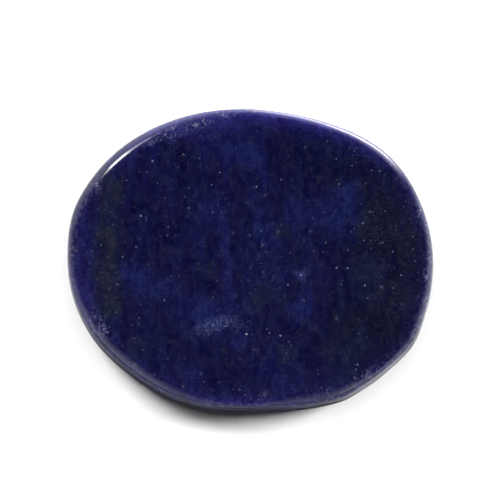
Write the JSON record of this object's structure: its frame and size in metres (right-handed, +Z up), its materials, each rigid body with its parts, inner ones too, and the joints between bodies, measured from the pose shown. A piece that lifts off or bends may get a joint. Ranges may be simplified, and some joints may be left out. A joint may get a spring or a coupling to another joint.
{
  "type": "polished lapis lazuli stone",
  "caption": "Loose oval lapis lazuli gemstone, a polished tablet with a nearly flat top, rounded edge and flat back.",
  "frame": {"origin": "middle of the flat back that the stone lies on", "axes": "+Z up out of the polished top, +X along the stone's long side"},
  "size_m": [0.018, 0.015, 0.004],
  "materials": {
    "lapis": "polished"
  },
  "bodies": {
    "root": {"stone": "lapis"}
  },
  "joints": []
}
